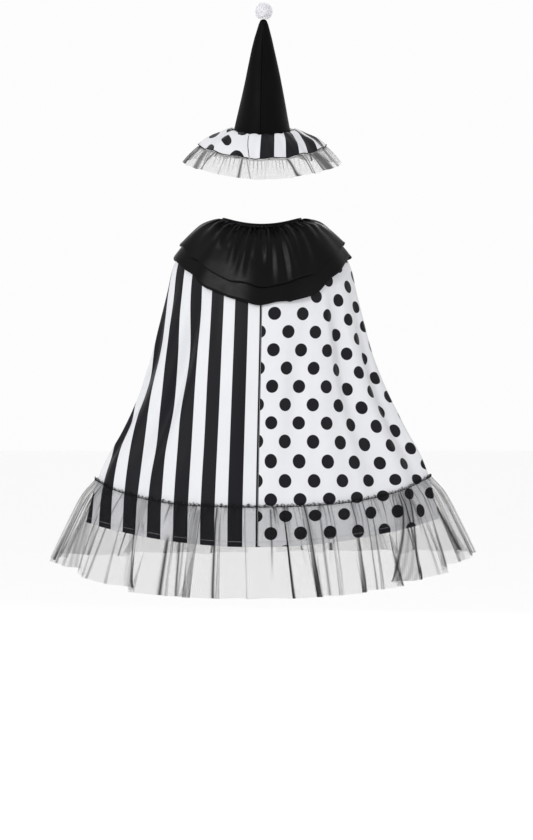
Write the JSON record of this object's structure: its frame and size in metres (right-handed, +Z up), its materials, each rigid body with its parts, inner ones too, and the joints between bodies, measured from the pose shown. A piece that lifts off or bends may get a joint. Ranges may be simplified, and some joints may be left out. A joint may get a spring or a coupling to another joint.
{
  "type": "jester cape and hat",
  "caption": "Wide cape, striped on one side and dotted on the other, with a gathered tiered collar and a net flounce, and a pointed cone hat with a ruffled brim, net frill and pompom.",
  "frame": {"origin": "Middle of the cape's neck opening, level with its side points", "axes": "+Z up, the wearer faces +Y, +X to the wearer's right; the picture looks along +Y at the back"},
  "size_m": [1.0217, 0.4245, 1.4047],
  "materials": {
    "striped_print": "white cloth with black stripes, soft satin",
    "dotted_print": "white cloth with black dots, soft satin",
    "black_satin": "satin with a soft sheen",
    "black_net": "sheer net",
    "black_felt": "matt felt",
    "white_fur": "fluffy yarn",
    "black_button": "smooth"
  },
  "bodies": {
    "root": {"cape_back_striped": "striped_print", "cape_front_striped": "striped_print", "hat_brim_striped": "striped_print", "cape_back_dotted": "dotted_print", "cape_front_dotted": "dotted_print", "hat_brim_dotted": "dotted_print", "collar_upper": "black_satin", "collar_lower": "black_satin", "neck_band": "black_satin", "neck_button": "black_button", "cape_flounce": "black_net", "hat_frill": "black_net", "hat_cone": "black_felt", "hat_pompom": "white_fur"}
  },
  "joints": []
}
